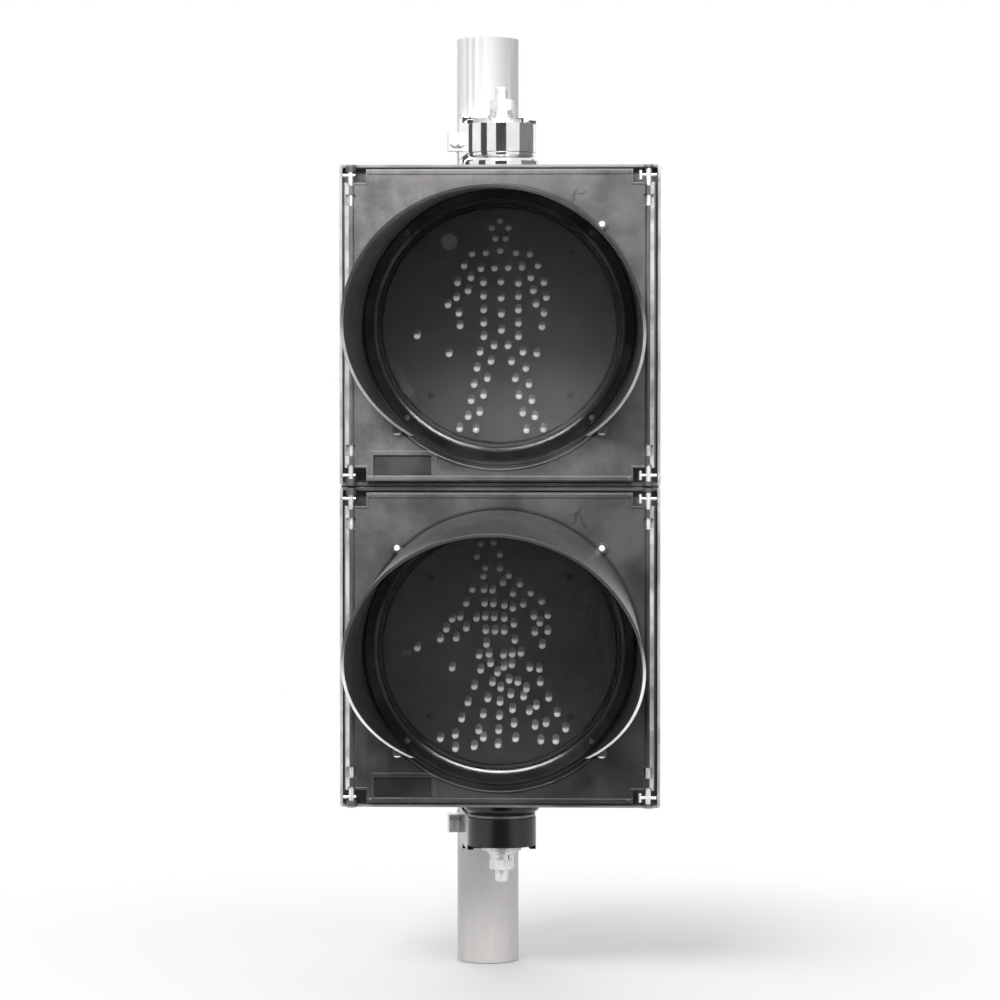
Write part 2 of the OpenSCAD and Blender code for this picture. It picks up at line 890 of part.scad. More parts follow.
// Several strides of a walking figure, all fitted on one board
walking = [
    [-14.1, 79.9, -4.4, 80.7, 2], [-17.1, 70.2, 0.1, 71.7, 2], [-10.8, 62, 0.1, 61.3, 2],
    [6.8, 56, 31.4, 36.6, 4], [35.9, 26.1, 35.9, 14.2, 2], [25.5, 25.4, 26.2, 13.4, 2],
    [30, 20.5, 31.8, 3.7, 2], [2.3, 50.5, 17.6, 34.4, 3],
    [-20.5, 45.6, -29.8, 24.7, 3], [-35.8, 23.2, -44.7, 8.2, 3], [-17.6, 23.9, -32.8, 9, 3],
    [-35.8, -13.4, -35.8, -13.4, 1], [-61.9, 1.6, -61.9, 1.6, 1],
    [-12.4, 55.5, -10, 4.5, 6], [-5.4, 45, -3.7, 14.2, 4], [3.4, 33.6, 3.4, 14.2, 3],
    [9.8, 31.5, 11.3, 7.5, 3], [-15.6, -4, -8.1, -3, 2], [2.7, -3.7, 15.8, -2.2, 3],
    [-7, -10.1, -1.8, -17, 2], [3, -12.8, 9, -11, 2], [22.5, -13.4, 29.6, -14.2, 2],
    [-14.4, -14.9, -33.5, -63.9, 5], [-44.7, -66.5, -33.5, -74, 2],
    [-5.6, -24.5, -19.3, -72.5, 5], [0.6, -28.5, -1.4, -71, 5], [-12.4, -66, -12.4, -66, 1],
    [7, -22.5, 11.8, -66.5, 5], [13.5, -24, 30.7, -68, 5], [20, -29, 41.9, -68, 4],
    [30.3, -24.3, 49.4, -59, 4]
];

module led() {
    rod_y(led_d / 2, -6.2, 2);
    translate([0, -6.2, 0])
        sphere(d = led_d, $fn = 24);
}

module leds(which, rows) at_section(which) color(led_clear) intersection() {
    slab(0, board_front)
        square(180, center = true);
    for (row = rows, i = [0:row[4] - 1]) {
        t = row[4] == 1 ? 0 : i / (row[4] - 1);
        translate([row[0] + t * (row[2] - row[0]), board_front, row[1] + t * (row[3] - row[1])])
            rotate([led_tilt, 0, 0])
                led($fn = 24);
    }
}

// Pins

// Shaft, cross bar, and on a lock pin a short flag at the bar's inner end
module pin(which, side, end) at_section(which) color(zinc) {
    inner = side == LEFT ? bar_in : flag_in;
    tip = 0.6;
    mirror([0, 0, end == TOP ? 0 : 1])
        translate([side * pin_x, pin_y, 0]) {
            translate([0, 0, pin_tail])
                cylinder(r = pin_r, h = pin_tip - pin_tail - tip);
            translate([0, 0, pin_tip - tip - 0.02])
                cylinder(r1 = pin_r, r2 = pin_r - tip, h = tip + 0.02);
            mirror([side == LEFT ? 1 : 0, 0, 0])
                translate([-inner, 0, bar_z])
                    rotate([0, 90, 0])
                        cylinder(r = bar_r, h = inner + bar_out);
            if (side == RIGHT)
                translate([-flag_in, 0, bar_z - flag_half])
                    cylinder(r = bar_r, h = 2 * flag_half);
        }
}

pole();
bracket(TOP);  // top_bracket
bracket(BOTTOM);  // bottom_bracket
band(TOP);  // top_band
band(BOTTOM);  // bottom_band
band_screw(TOP);  // top_band_screw
band_screw(BOTTOM);  // bottom_band_screw
bolt(TOP);  // top_bolt
bolt(BOTTOM);  // bottom_bolt
nut_stack(TOP);  // top_nut_stack
nut_stack(BOTTOM);  // bottom_nut_stack
inner_plate(TOP);  // top_inner_plate
inner_plate(BOTTOM);  // bottom_inner_plate
hub_ring(TOP);  // top_hub_ring
hub_ring(BOTTOM);  // bottom_hub_ring
toothed_disc(TOP);  // top_toothed_disc
toothed_disc(BOTTOM);  // bottom_toothed_disc
housing(UPPER);  // housing_upper
housing(LOWER);  // housing_lower
section_gasket();
coupling_plates();
coupling_bolts();
door_gasket(UPPER);  // door_gasket_upper
door_gasket(LOWER);  // door_gasket_lower
terminal_block();
door(UPPER);  // door_upper
door(LOWER);  // door_lower
visor(UPPER);  // visor_upper
visor(LOWER);  // visor_lower
visor_screws(UPPER);  // visor_screws_upper
visor_screws(LOWER);  // visor_screws_lower
lens(UPPER);  // lens_upper
lens(LOWER);  // lens_lower
lens_gasket(UPPER);  // lens_gasket_upper
lens_gasket(LOWER);  // lens_gasket_lower
lens_ring(UPPER);  // lens_ring_upper
lens_ring(LOWER);  // lens_ring_lower
lens_ring_screws(UPPER);  // lens_ring_screws_upper
lens_ring_screws(LOWER);  // lens_ring_screws_lower
led_board(UPPER);  // led_board_upper
led_board(LOWER);  // led_board_lower
leds(UPPER, standing);  // leds_upper
leds(LOWER, walking);  // leds_lower
board_screws(UPPER);  // board_screws_upper
board_screws(LOWER);  // board_screws_lower
module_shell(UPPER);  // module_shell_upper
module_shell(LOWER);  // module_shell_lower
driver_board(UPPER);  // driver_board_upper
driver_board(LOWER);  // driver_board_lower
cable_gland(UPPER);  // cable_gland_upper
cable_gland(LOWER);  // cable_gland_lower
vent_disc(UPPER);  // vent_disc_upper
pin(UPPER, LEFT, TOP);  // hinge_pin_upper_top
pin(UPPER, LEFT, BOTTOM);  // hinge_pin_upper_bottom
pin(LOWER, LEFT, TOP);  // hinge_pin_lower_top
pin(LOWER, LEFT, BOTTOM);  // hinge_pin_lower_bottom
pin(UPPER, RIGHT, TOP);  // lock_pin_upper_top
pin(UPPER, RIGHT, BOTTOM);  // lock_pin_upper_bottom
pin(LOWER, RIGHT, TOP);  // lock_pin_lower_top
pin(LOWER, RIGHT, BOTTOM);  // lock_pin_lower_bottom
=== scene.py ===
import math

import bpy
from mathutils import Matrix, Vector


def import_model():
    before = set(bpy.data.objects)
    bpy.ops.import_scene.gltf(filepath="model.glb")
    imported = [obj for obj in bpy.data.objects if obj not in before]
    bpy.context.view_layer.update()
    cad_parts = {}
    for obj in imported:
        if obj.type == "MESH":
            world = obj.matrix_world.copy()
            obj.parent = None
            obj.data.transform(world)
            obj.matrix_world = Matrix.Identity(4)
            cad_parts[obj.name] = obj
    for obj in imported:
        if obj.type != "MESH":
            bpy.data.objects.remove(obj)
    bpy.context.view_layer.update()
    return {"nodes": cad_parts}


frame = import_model()
NODES = frame["nodes"]
MM = 0.001

# The head as the part's source has it: two sections, swivelled by one tooth on the bolts
SECTIONS = ("upper", "lower")
PITCH = 241 * MM
SWING = math.radians(8)
ARM_L = 102
HUB = Vector((ARM_L * math.sin(SWING), -ARM_L * math.cos(SWING), 0)) * MM
HEAD = HUB + Vector((0, -50, 377)) * MM
SECTION_Z = {"upper": PITCH / 2, "lower": -PITCH / 2}

# The visor: a flared tube on a tilted axis, whose front edge curves back below the roof.
# EDGE_TOP and EDGE_SPAN are heights over the radius: where that curve starts, and its length.
VISOR_TILT = math.radians(4.7)
VISOR_DROP = 1.5 * MM
VISOR_R = 104.8 * MM
VISOR_FLARE = 0.028
VISOR_L = 190 * MM
EDGE_TOP = 1.11
EDGE_SPAN = 1.907

# Places on the faces, from the middle of the head (x, housings) or of the section (z)
LIP_SIDE = (117.8 * MM, 118.2 * MM)
LIP_END = (238.8 * MM, 239.3 * MM)
DOOR_RIB = (112.2 * MM, 115.2 * MM)
PLATE_X = (-94.2 * MM, -50.7 * MM)
PLATE_Z = (-112.3 * MM, -96.7 * MM)
FOOT_DROP = 1.8 * MM
# Where the door gets a painted shadow line in the gap at the visor's foot, and painted shade
# round it
FOOT_SHADE = (100 * MM, 107.4 * MM)
FOOT_SHADE_REACH = (105 * MM, 120 * MM)
LEDS_TOP = 85 * MM

# Marks on the doors: x, z, angle, length and width, in millimetres from the head's middle
MARKS = {
    "upper": [(55, 215, 70, 16, 1.9), (62, 219, 20, 8, 1.4)],
    "lower": [(57, -23, 62, 22, 2.2), (62, -27, 112, 12, 1.8), (56, -20, 15, 9, 1.5)],
}

# Heights in the part's frame: where the pole is painted lighter as a highlight, and the screws
# painted white as a glint
LIT_TOP_Z = (0.3, 0.62)
GLINT_PAIR_Z = (0.318, 0.345)
GLINT_ONE_Z = (0.56, 0.59)

# The weak emission that stands for light gathered in an LED's dome
LED_GLOW = 0.34

# The stage, in metres
FLOOR_SIZE = 12.0
FLOOR_Z = -0.5 * MM
SHADOW_REACH = (0.12, 0.6)
CARD_FOOT = -0.1
CARD_HEIGHT = 2.5
MAT_Z = 2 * MM


def at_head(x, y, z):
    """A point given in millimetres from the middle of the head's front, in the part's frame."""
    return HEAD + Vector((x, y, z)) * MM


# ---------------------------------------------------------------- materials


class Nodes:
    """A short way to build one material's node tree."""

    def __init__(self, name):
        self.mat = bpy.data.materials.new(name)
        self.mat.use_nodes = True
        self.tree = self.mat.node_tree
        self.tree.nodes.clear()
        self.out = self.tree.nodes.new("ShaderNodeOutputMaterial")
        self.coords = self.tree.nodes.new("ShaderNodeTexCoord").outputs["Object"]

    def new(self, kind, **values):
        node = self.tree.nodes.new(kind)
        for key, value in values.items():
            setattr(node, key, value)
        return node

    def link(self, a, b):
        self.tree.links.new(a, b)

    def put(self, socket, value):
        if isinstance(value, bpy.types.NodeSocket):
            self.link(value, socket)
        else:
            socket.default_value = value

    def noise(self, scale, detail=4, rough=0.55, stretch=(1, 1, 1), at=(0, 0, 0)):
        mapping = self.new("ShaderNodeMapping")
        mapping.inputs["Scale"].default_value = stretch
        mapping.inputs["Location"].default_value = at
        self.link(self.coords, mapping.inputs["Vector"])
        n = self.new("ShaderNodeTexNoise")
        n.inputs["Scale"].default_value = scale
        n.inputs["Detail"].default_value = detail
        n.inputs["Roughness"].default_value = rough
        self.link(mapping.outputs[0], n.inputs["Vector"])
        return n.outputs["Fac"]

    def axis(self, name):
        s = self.new("ShaderNodeSeparateXYZ")
        self.link(self.coords, s.inputs[0])
        return s.outputs[name]

    def ramp(self, value, low, high, to_low=0.0, to_high=1.0, smooth=True):
        kind = "SMOOTHSTEP" if smooth else "LINEAR"
        r = self.new("ShaderNodeMapRange", interpolation_type=kind)
        self.put(r.inputs["Value"], value)
        r.inputs["From Min"].default_value = low
        r.inputs["From Max"].default_value = high
        r.inputs["To Min"].default_value = to_low
        r.inputs["To Max"].default_value = to_high
        return r.outputs["Result"]

    def math(self, op, a, b=0.0, clamp=False):
        m = self.new("ShaderNodeMath", operation=op, use_clamp=clamp)
        self.put(m.inputs[0], a)
        self.put(m.inputs[1], b)
        return m.outputs[0]

    def mix(self, factor, a, b, kind="MIX"):
        m = self.new("ShaderNodeMix", data_type="RGBA", blend_type=kind)
        self.put(m.inputs[0], factor)
        self.put(m.inputs[6], a)
        self.put(m.inputs[7], b)
        return m.outputs[2]

    def bevel(self, radius):
        b = self.new("ShaderNodeBevel", samples=4)
        b.inputs["Radius"].default_value = radius
        return b.outputs[0]

    def bump(self, height, strength, distance, normal=None):
        b = self.new("ShaderNodeBump")
        b.inputs["Strength"].default_value = strength
        b.inputs["Distance"].default_value = distance
        self.link(height, b.inputs["Height"])
        if normal is not None:
            self.link(normal, b.inputs["Normal"])
        return b.outputs[0]

    def edge(self, radius):
        """One on a rounded-over edge, nought on a flat face."""
        g = self.new("ShaderNodeNewGeometry").outputs["Normal"]
        d = self.new("ShaderNodeVectorMath", operation="DOT_PRODUCT")
        self.link(self.bevel(radius), d.inputs[0])
        self.link(g, d.inputs[1])
        return self.ramp(d.outputs["Value"], 0.995, 0.9)

    def length(self, vector):
        v = self.new("ShaderNodeVectorMath", operation="LENGTH")
        self.link(vector, v.inputs[0])
        return v.outputs["Value"]

    def band(self, value, limits, soft):
        """One between two limits, nought outside them."""
        low, high = limits
        up = self.ramp(value, low - soft, low + soft)
        down = self.ramp(value, high - soft, high + soft, 1.0, 0.0)
        return self.math("MULTIPLY", up, down)

    def blend(self, a, share_a, b, share_b):
        """The sum of two patterns, one at most."""
        a, b = self.math("MULTIPLY", a, share_a), self.math("MULTIPLY", b, share_b)
        return self.math("ADD", a, b, True)

    def tint(self, color, pattern, share, other):
        """Another colour laid over the first where the pattern is, and no stronger than share."""
        return self.mix(self.math("MULTIPLY", pattern, share), color, other)

    def head_x(self):
        return self.math("SUBTRACT", self.axis("X"), HEAD.x)

    def head_z(self):
        return self.math("SUBTRACT", self.axis("Z"), HEAD.z)

    def section_z(self, which):
        return self.math("SUBTRACT", self.head_z(), SECTION_Z[which])

    def scratch(self, x, z, angle, length, width):
        """A wavering mark on the face, given in millimetres from the middle of the head."""
        c, s = math.cos(math.radians(angle)), math.sin(math.radians(angle))
        dx = self.math("SUBTRACT", self.head_x(), x * MM)
        dz = self.math("SUBTRACT", self.head_z(), z * MM)
        along = self.math("ADD", self.math("MULTIPLY", dx, c), self.math("MULTIPLY", dz, s))
        across = self.math("SUBTRACT", self.math("MULTIPLY", dz, c), self.math("MULTIPLY", dx, s))
        waver = self.math("MULTIPLY", self.math("SUBTRACT", self.noise(260, 3), 0.5), 6 * MM)
        across = self.math("ABSOLUTE", self.math("ADD", across, waver))
        along = self.math("ABSOLUTE", along)
        inside = self.ramp(along, 0.3 * length * MM, 0.5 * length * MM, 1.0, 0.0)
        line = self.ramp(across, 0.2 * width * MM, 0.7 * width * MM, 1.0, 0.0)
        return self.math("MULTIPLY", inside, line)

    def shader(self, color, rough, normal=None, metallic=0.0, **sockets):
        p = self.new("ShaderNodeBsdfPrincipled")
        self.put(p.inputs["Base Color"], color)
        self.put(p.inputs["Roughness"], rough)
        p.inputs["Metallic"].default_value = metallic
        for key, value in sockets.items():
            p.inputs[key.replace("_", " ")].default_value = value
        if normal is not None:
            self.link(normal, p.inputs["Normal"])
        return p.outputs[0]

    def done(self, surface):
        self.link(surface, self.out.inputs["Surface"])
        return self.mat

    def moulded(self, color, rough, grain, edge_r, patches=25, **sockets):
        """The finish of moulded plastic: uneven gloss, fine grain, rounded-over edges."""
        roughness = self.ramp(self.noise(patches, 4), 0.3, 0.7, *rough)
        normal = self.bump(self.noise(900, 3, 0.6), grain, 0.08 * MM, self.bevel(edge_r))
        return self.done(self.shader(color, roughness, normal, **sockets))


def grey(value, warm=0.0):
    """A grey; dark ones have the faint mauve cast of old black plastic, warm makes it beige."""
    cast = min(1.0, max(0.0, (0.6 - value) / 0.25))
    return ((1 + 0.02 * cast) * value + warm, (1 - 0.045 * cast) * value, value - 0.4 * warm, 1)


def worn_plastic(name, dark, light, edge_highlight, rough=(0.32, 0.5), grain=0.25, edge_tone=0.42):
    """Moulded plastic: faded patches, rain streaks, fine grain, and edges tinted toward a mid
    grey, paler on dark plastic, as a painted highlight that is partly wear.
    """
    n = Nodes(name)
    edge_r = 0.7 * MM
    cloud = n.ramp(n.noise(9, 5, 0.6), 0.32, 0.7)
    streak = n.ramp(n.noise(60, 4, 0.6, (1, 1, 0.06)), 0.4, 0.72)
    color = n.mix(n.blend(cloud, 0.6, streak, 0.3), dark, light)
    # Painted highlight: rounded edges tinted toward a mid grey, partly wear
    color = n.tint(color, n.edge(edge_r), edge_highlight, grey(edge_tone))
    return n.moulded(color, rough, grain, edge_r)


def housing_plastic():
    """As the doors, with the rim all round the front lips painted pale: a painted highlight,
    partly wear.
    """
    n = Nodes("housing_plastic")
    edge_r = 0.6 * MM
    cloud = n.ramp(n.noise(12, 5, 0.6), 0.34, 0.68)
    streak = n.ramp(n.noise(70, 4, 0.6, (1, 1, 0.06)), 0.42, 0.72)
    color = n.mix(n.blend(cloud, 0.6, streak, 0.35), grey(0.045), grey(0.13))
    # Painted highlight on the rim round the front lips, partly wear
    side = n.ramp(n.math("ABSOLUTE", n.head_x()), *LIP_SIDE)
    end = n.ramp(n.math("ABSOLUTE", n.head_z()), *LIP_END, 0.0, 0.5)
    lip_wear_and_highlight = n.ramp(n.noise(40, 4), 0.25, 0.6, 0.45, 1.0)
    color = n.mix(n.math("MULTIPLY", n.math("MAXIMUM", side, end), lip_wear_and_highlight), color, grey(0.62))
    # Painted highlight: rounded edges painted paler, partly wear
    color = n.tint(color, n.edge(edge_r), 0.4, grey(0.4))
    return n.moulded(color, (0.34, 0.52), 0.25, edge_r)


def ring_plastic():
    """Glossy black, dull enough to stay dark where only the room is mirrored."""
    n = Nodes("ring_plastic")
    edge_r = 1.2 * MM
    cloud = n.ramp(n.noise(30, 5, 0.6), 0.32, 0.7)
    # Painted highlight: rounded edges painted a little paler
    color = n.tint(n.mix(cloud, grey(0.014), grey(0.035)), n.edge(edge_r), 0.25, grey(0.12))
    return n.moulded(color, (0.1, 0.2), 0.1, edge_r, patches=40, Specular_IOR_Level=0.22)


def door_plastic(which, dark, light, top, bottom, edge_highlight):
    """Faded face: clouds, run-off streaks, side ribs painted pale as a highlight and partly
    rubbed, and painted shade in the name-plate recess.

    It gets darker from top to bottom and towards the right, as the photo's light does.
    """
    n = Nodes("door_plastic_" + which)
    edge_r = 0.7 * MM
    x, z = n.head_x(), n.section_z(which)
    cloud = n.ramp(n.noise(17, 6, 0.62, at=(0, 0, 0.3)), 0.34, 0.68)
    small = n.ramp(n.noise(70, 5, 0.65), 0.35, 0.7)
    streak = n.ramp(n.noise(90, 4, 0.6, (1, 1, 0.07)), 0.42, 0.72)
    patch = n.blend(cloud, 0.66, small, 0.2)
    patch = n.math("ADD", patch, n.math("MULTIPLY", streak, 0.12), True)
    color = n.mix(patch, dark, light)
    # Painted light and shade: darker from top to bottom and towards the right
    light_falloff = n.ramp(z, -115 * MM, 110 * MM, bottom, top, smooth=False)
    light_falloff = n.math("MULTIPLY", light_falloff, n.ramp(x, -60 * MM, 110 * MM, 1.0, 0.44))
    shade = n.new("ShaderNodeCombineColor")
    for socket in shade.inputs[:3]:
        n.link(light_falloff, socket)
    color = n.mix(1.0, color, shade.outputs[0], "MULTIPLY")
    # Painted shade that darkens the door round the visor's foot, and a painted shadow line in the
    # gap at the foot itself
    flat = n.new("ShaderNodeCombineXYZ")
    n.link(x, flat.inputs[0])
    n.link(n.math("ADD", z, FOOT_DROP), flat.inputs[1])
    reach = n.length(flat.outputs[0])
    color = n.mix(n.ramp(reach, *FOOT_SHADE_REACH, 0.6, 0.0), color, grey(0.03))
    color = n.mix(n.band(reach, FOOT_SHADE, 0.3 * MM), color, grey(0.004))
    speck = n.ramp(n.noise(330, 3, 0.5), 0.63, 0.7)
    color = n.tint(color, speck, 0.25, grey(0.03))
    # Painted highlight along the side ribs, partly rubbed wear
    rib = n.band(n.math("ABSOLUTE", x), DOOR_RIB, 0.3 * MM)
    rubbed = n.ramp(n.noise(55, 4), 0.3, 0.62, 0.4, 1.0)
    color = n.tint(color, rib, rubbed, grey(0.6))
    # Painted shade: the name-plate recess painted near black
    plate = n.math("MULTIPLY", n.band(x, PLATE_X, 0.2 * MM), n.band(z, PLATE_Z, 0.2 * MM))
    color = n.tint(color, plate, 0.9, grey(0.012))
    for mark in MARKS[which]:
        color = n.tint(color, n.scratch(*mark), 0.85, grey(0.01))
    # Painted highlight: rounded edges painted paler, partly wear
    color = n.tint(color, n.edge(edge_r), edge_highlight, grey(0.4))
    return n.moulded(color, (0.3, 0.48), 0.25, edge_r)


def visor_plastic(which, dark, light, rim_low, rim_high):
    """Satin black with run-off streaks; the front edge is painted pale as a highlight, palest on
    its lower part, with rubbed wear.
    """
    n = Nodes("visor_plastic_" + which)
    edge_r = 0.5 * MM
    cloud = n.ramp(n.noise(14, 5, 0.6), 0.32, 0.7)
    streak = n.ramp(n.noise(75, 4, 0.6, (1, 0.1, 1)), 0.4, 0.7)
    color = n.mix(n.blend(cloud, 0.5, streak, 0.35), dark, light)
    # Length along the visor and height across it, square to its tilted axis
    y = n.math("SUBTRACT", n.axis("Y"), HEAD.y)
    z = n.math("ADD", n.section_z(which), VISOR_DROP)
    c, d = math.cos(VISOR_TILT), math.sin(VISOR_TILT)
    along = n.math("ADD", n.math("MULTIPLY", y, c), n.math("MULTIPLY", z, d))
    along = n.math("MULTIPLY", along, -1.0)
    across = n.math("SUBTRACT", n.math("MULTIPLY", z, c), n.math("MULTIPLY", y, d))
    radius = n.math("ADD", n.math("MULTIPLY", along, VISOR_FLARE), VISOR_R)
    height = n.math("DIVIDE", across, radius)
    share = n.math("DIVIDE", n.math("SUBTRACT", EDGE_TOP, height), EDGE_SPAN)
    front = n.math("SUBTRACT", 1.0, n.math("MULTIPLY", share, share))
    front = n.math("MULTIPLY", front, VISOR_L)
    # Painted highlight on the front edge, paler low down, varied by rubbed wear
    rim = n.ramp(n.math("SUBTRACT", front, along), 0.9 * MM, 0.4 * MM)
    rubbed = n.ramp(n.noise(60, 4), 0.2, 0.6, 0.7, 1.0)
    tone = n.ramp(height, 0.3, -0.1)
    color = n.tint(color, rim, rubbed, n.mix(tone, grey(rim_high), grey(rim_low)))
    # Painted highlight: rounded edges painted paler, partly wear
    color = n.tint(color, n.edge(edge_r), 0.4, grey(0.4))
    return n.moulded(color, (0.3, 0.44), 0.2, edge_r)


def metal(name, dark, light, rough=(0.25, 0.45), metallic=1.0, spots=0.3):
    n = Nodes(name)
    cloud = n.ramp(n.noise(45, 5, 0.6), 0.35, 0.68)
    fine = n.ramp(n.noise(600, 3, 0.6), 0.45, 0.75)
    color = n.mix(cloud, dark, light)
    color = n.tint(color, fine, spots, tuple(0.6 * c for c in dark[:3]) + (1,))
    roughness = n.ramp(n.noise(80, 4), 0.3, 0.7, *rough)
    normal = n.bump(n.noise(700, 3), 0.12, 0.06 * MM, n.bevel(0.4 * MM))
    return n.done(n.shader(color, roughness, normal, metallic))


def painted_pole():
    """Chalky paint, warm grey low down; the top is painted lighter as a highlight, and the
    streaks along the tube grow stronger there as painted reflection bands.
    """
    n = Nodes("pole_paint")
    cloud = n.ramp(n.noise(14, 6, 0.62, (1, 1, 0.35)), 0.36, 0.7)
    streak = n.ramp(n.noise(110, 2, 0.5, (1, 1, 0.008)), 0.45, 0.53)
    chip = n.ramp(n.noise(190, 5, 0.62), 0.68, 0.7)
    # Painted highlight: the pole painted lighter towards the top
    lit_top = n.ramp(n.axis("Z"), *LIT_TOP_Z)
    color = n.mix(cloud, (0.54, 0.523, 0.507, 1), (0.64, 0.62, 0.603, 1))
    color = n.mix(lit_top, color, (0.7, 0.685, 0.675, 1))
    # Streaks along the tube, partly real, stronger at the top as painted reflection bands
    color = n.tint(color, streak, n.ramp(n.axis("Z"), *LIT_TOP_Z, 0.15, 0.9), grey(0.5, 0.004))
    color = n.tint(color, chip, 0.4, grey(0.36, 0.012))
    roughness = n.ramp(n.noise(50, 4), 0.3, 0.7, 0.3, 0.5)
    height = n.math("SUBTRACT", n.math("MULTIPLY", n.noise(260, 3), 0.4), chip)
    normal = n.bump(height, 0.25, 0.2 * MM, n.bevel(0.6 * MM))
    return n.done(n.shader(color, roughness, normal, Coat_Weight=0.2, Coat_Roughness=0.2))


def screw_zinc():
    """Dull plated screws; three of the upper ones on the visors are painted white as a glint."""
    n = Nodes("screw_zinc")
    pair = n.band(n.axis("Z"), GLINT_PAIR_Z, 1 * MM)
    one = n.band(n.axis("Z"), GLINT_ONE_Z, 1 * MM)
    one = n.math("MULTIPLY", one, n.ramp(n.head_x(), 70 * MM, 72 * MM))
    # Painted glint on three upper screws
    bright = n.math("ADD", pair, one, True)
    color = n.mix(bright, n.mix(n.noise(200, 3), grey(0.05), grey(0.13)), grey(1.0))
    roughness = n.ramp(n.noise(300, 3), 0.3, 0.7, 0.35, 0.55)
    return n.done(n.shader(color, roughness, n.bevel(0.3 * MM), 0.2))


def rubber():
    n = Nodes("seal_rubber")
    color = n.mix(n.noise(300, 4), grey(0.018), grey(0.04))
    normal = n.bump(n.noise(1500, 3), 0.3, 0.08 * MM, n.bevel(0.3 * MM))
    return n.done(n.shader(color, 0.7, normal))


def clear_lens(which, top, low, right):
    """Clear plastic with reflections by angle, and a film of dust.

    The film's share is top above the section's middle and low below it, and right times
    that towards the right. Besides dust, this spread is painted light, paling the lens in set
    places.
    """
    n = Nodes("clear_lens_" + which)
    film = n.ramp(n.noise(13, 5, 0.6), 0.3, 0.75, 0.75, 1.2)
    # Partly painted light: the film's spread pales the lens low down and to the right
    share = n.ramp(n.section_z(which), 60 * MM, -70 * MM, top, low)
    side = n.ramp(n.head_x(), -80 * MM, 80 * MM, 1.0, right)
    film = n.math("MULTIPLY", n.math("MULTIPLY", film, share), side, True)
    clear = n.new("ShaderNodeBsdfTransparent")
    clear.inputs["Color"].default_value = (0.97, 0.97, 0.97, 1)
    dust = n.new("ShaderNodeBsdfDiffuse")
    dust.inputs["Color"].default_value = grey(0.5)
    gloss = n.new("ShaderNodeBsdfGlossy")
    gloss.inputs["Color"].default_value = (1, 1, 1, 1)
    gloss.inputs["Roughness"].default_value = 0.05
    fresnel = n.new("ShaderNodeFresnel")
    fresnel.inputs["IOR"].default_value = 1.42
    dusty = n.new("ShaderNodeMixShader")
    n.link(film, dusty.inputs[0])
    n.link(clear.outputs[0], dusty.inputs[1])
    n.link(dust.outputs[0], dusty.inputs[2])
    whole = n.new("ShaderNodeMixShader")
    n.link(fresnel.outputs[0], whole.inputs[0])
    n.link(dusty.outputs[0], whole.inputs[1])
    n.link(gloss.outputs[0], whole.inputs[2])
    return n.done(whole.outputs[0])


def led_epoxy(which, full_below):
    """Clear epoxy, with the lower half of each dome painted lighter and given a weak painted
    glow, for light caught on the chip cup.
    """
    n = Nodes("led_epoxy_" + which)
    normal = n.new("ShaderNodeTexCoord").outputs["Normal"]
    s = n.new("ShaderNodeSeparateXYZ")
    n.link(normal, s.inputs[0])
    # Painted light: the lower half of each dome painted lighter
    low = n.ramp(s.outputs["Z"], 0.8, 0.0)
    z = n.section_z(which)
    color = n.mix(low, grey(0.5), grey(1.0))
    color = n.tint(color, n.ramp(n.noise(160, 2), 0.4, 0.7), 0.3, grey(0.35))
    # Painted shade: darker towards the top, under the visor's roof
    color = n.mix(n.ramp(z, LEDS_TOP, 10 * MM, 0.6, 0.0), color, grey(0.06))
    # Painted glow: a weak emission on the lower half of each dome, stronger away from the roof's
    # shade
    painted_glow = n.ramp(z, LEDS_TOP, full_below, 0.02, LED_GLOW)
    surface = n.new("ShaderNodeBsdfPrincipled")
    n.link(color, surface.inputs["Base Color"])
    n.link(color, surface.inputs["Emission Color"])
    n.link(n.math("MULTIPLY", low, painted_glow), surface.inputs["Emission Strength"])
    surface.inputs["Roughness"].default_value = 0.25
    surface.inputs["Metallic"].default_value = 0.2
    surface.inputs["Coat Weight"].default_value = 0.6
    return n.done(surface.outputs[0])


def board(name, base, line):
    n = Nodes(name)
    color = n.mix(n.ramp(n.noise(120, 3), 0.4, 0.65), base, line)
    normal = n.bump(n.noise(800, 3), 0.05, 0.04 * MM)
    return n.done(n.shader(color, 0.5, normal))


POLE = painted_pole()
# Lit and shaded copies: the lower door and visor are painted darker than the upper ones as
# painted shade, and the lower visor's rim gets the brighter painted highlight
DOOR = {"upper": door_plastic("upper", grey(0.07), grey(0.36), 0.74, 0.6, 0.5),
        "lower": door_plastic("lower", grey(0.06), grey(0.27), 0.45, 0.26, 0.2)}
HOUSING = housing_plastic()
VISOR = {"upper": visor_plastic("upper", grey(0.055), grey(0.125), 0.6, 0.05),
         "lower": visor_plastic("lower", grey(0.036), grey(0.078), 0.98, 0.045)}
RING = ring_plastic()
MODULE = worn_plastic("module_plastic", grey(0.03), grey(0.07), 0.2)
CREAM = worn_plastic("cream_plastic", (0.5, 0.47, 0.38, 1), (0.66, 0.62, 0.5, 1), 0.1)
ZINC = metal("zinc_plate", grey(0.68), grey(0.84), (0.25, 0.4), metallic=0.6, spots=0.08)
SCREW = screw_zinc()
GALVANISED = metal("galvanised_steel", grey(0.42), grey(0.62), (0.35, 0.55))
POLISHED = metal("polished_alloy", grey(0.8), grey(0.92), (0.05, 0.1), spots=0.05)
BLACK_GLOSS = worn_plastic("black_gloss", grey(0.006), grey(0.012), 0.1, (0.1, 0.18), 0.08, 0.3)
RUBBER = rubber()
BOARD = board("board_black", grey(0.016), grey(0.028))
GREEN = board("board_green", (0.02, 0.09, 0.04, 1), (0.03, 0.14, 0.06, 1))
LED = {"upper": led_epoxy("upper", -30 * MM), "lower": led_epoxy("lower", -110 * MM)}
